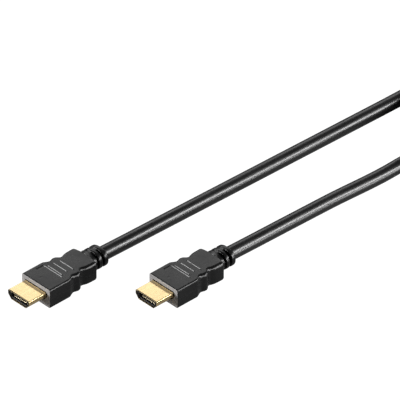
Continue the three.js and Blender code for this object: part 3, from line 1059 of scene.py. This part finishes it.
def make_contacts(prefix, origin):
    """A plug's two rows of contacts, in the slot behind the insulator's front face."""
    name = f"{prefix}_contacts"
    piece = put_in_scene(name, bpy.data.meshes.new(name))
    bake_nodes(piece, CONTACTS, CONTACT_SIZES)
    first = -SHELL_REACH + INSULATOR_RECESS + CONTACT_SET_BACK
    start = origin + np.array([first, 0.0, SHELL_MIDDLE])
    for vertex in piece.data.vertices:
        vertex.co += Vector(start * MM)
    weld(piece.data)
    shade(piece, CONTACT_GOLD, sharp=30.0)
    nodes = [f"{prefix}_contact_top_{i + 1}" for i in range(CONTACT_SIZES["Count above"])]
    nodes += [f"{prefix}_contact_bottom_{i + 1}" for i in range(CONTACT_SIZES["Count below"])]
    return finish_piece(piece, "contact_gold", *nodes)


def use_second_material(piece, material, chosen):
    """Gives the faces for which chosen is true a second material."""
    piece.data.materials.append(material)
    for face in piece.data.polygons:
        if chosen(face):
            face.material_index = 1


def make_plug(prefix):
    """A plug: its moulding, metal shell, insulator and contacts."""
    origin = plug_origin(prefix)
    front = origin[0] * MM
    lip = (origin[0] - SHELL_REACH + LIP_DEPTH) * MM

    def on_front(face):
        """Whether a face lies on the body's flat front."""
        return face.normal.x < -0.9 and abs(face.center.x - front) < 0.05 * MM

    points, faces = loft(plug_body_rings())
    body = make_mesh(f"{prefix}_moulding", points, faces, origin)
    shade(body, MOULDING, sharp=48.0)
    # The flat front face gets the pale grey material of painted light.
    use_second_material(body, FRONT_FACE_PAINTED_LIGHT, on_front)
    finish_piece(body, "moulding", f"{prefix}_body")
    points, faces = loft(shell_rings(), closed=True)
    shell = make_mesh(f"{prefix}_metal_shell", points, faces, origin)
    shade(shell, SHELL_GOLD, sharp=48.0)
    use_second_material(shell, CUT_EDGE, lambda face: face.center.x < lip)
    finish_piece(shell, "shell_gold", f"{prefix}_shell")
    points, faces = loft(insulator_rings())
    insulator = make_mesh(f"{prefix}_insulator_block", points, faces, origin)
    finish_piece(shade(insulator, NYLON, sharp=35.0), "insulator", f"{prefix}_insulator")
    make_contacts(prefix, origin)


make_plug("plug_a")
make_plug("plug_b")


def make_floor():
    """A wide floor that reflects light as grey and looks white to the camera."""
    half = FLOOR_HALF
    mesh = bpy.data.meshes.new("floor")
    corners = [(-half, -half, 0), (half, -half, 0), (half, half, 0), (-half, half, 0)]
    mesh.from_pydata(corners, [], [(0, 1, 2, 3)])
    floor = put_in_scene("floor", mesh)
    material, tree, shader = new_material("studio floor")
    shader.inputs["Base Color"].default_value = (FLOOR_GREY, FLOOR_GREY, FLOOR_GREY, 1.0)
    shader.inputs["Roughness"].default_value = 1.0
    shader.inputs["Specular IOR Level"].default_value = 0.0
    glow = add(tree, "ShaderNodeEmission")
    glow.inputs["Strength"].default_value = FLOOR_GLOW
    seen = add(tree, "ShaderNodeLightPath")
    blend = add(tree, "ShaderNodeMixShader")
    tree.links.new(seen.outputs["Is Camera Ray"], blend.inputs["Fac"])
    tree.links.new(shader.outputs["BSDF"], blend.inputs[1])
    tree.links.new(glow.outputs["Emission"], blend.inputs[2])
    tree.links.new(blend.outputs["Shader"], tree.nodes["Material Output"].inputs["Surface"])
    mesh.materials.append(material)


def soft_light(name, direction, size, power):
    """An area light that looks at the plugs. Its direction is an azimuth from +X and an elevation."""
    azimuth, elevation = (math.radians(v) for v in direction)
    level = math.cos(elevation)
    away = Vector((math.cos(azimuth) * level, math.sin(azimuth) * level, math.sin(elevation)))
    data = bpy.data.lights.new(name, "AREA")
    data.shape = "RECTANGLE"
    data.size, data.size_y = size
    data.energy = power
    light = put_in_scene(name, data)
    light.location = Vector(LIGHT_AIM) + away * LIGHT_DISTANCE
    light.rotation_euler = away.to_track_quat("Z", "Y").to_euler()


make_floor()
soft_light("rear left softbox", (48, 31), (1.2, 0.4), 2.5)
soft_light("rear right softbox", (-54, 25.5), (1.9, 0.24), 20.0)
soft_light("low right strip", (-66, 4), (0.5, 0.17), 3.4)
soft_light("front left softbox", (145, 12), (0.7, 0.3), 13.0)

world = bpy.data.worlds.new("studio")
bpy.context.scene.world = world
world.use_nodes = True
background = world.node_tree.nodes["Background"]
background.inputs["Color"].default_value = (1.0, 1.0, 1.0, 1.0)
background.inputs["Strength"].default_value = WORLD_STRENGTH
bpy.context.scene.view_settings.view_transform = "Standard"
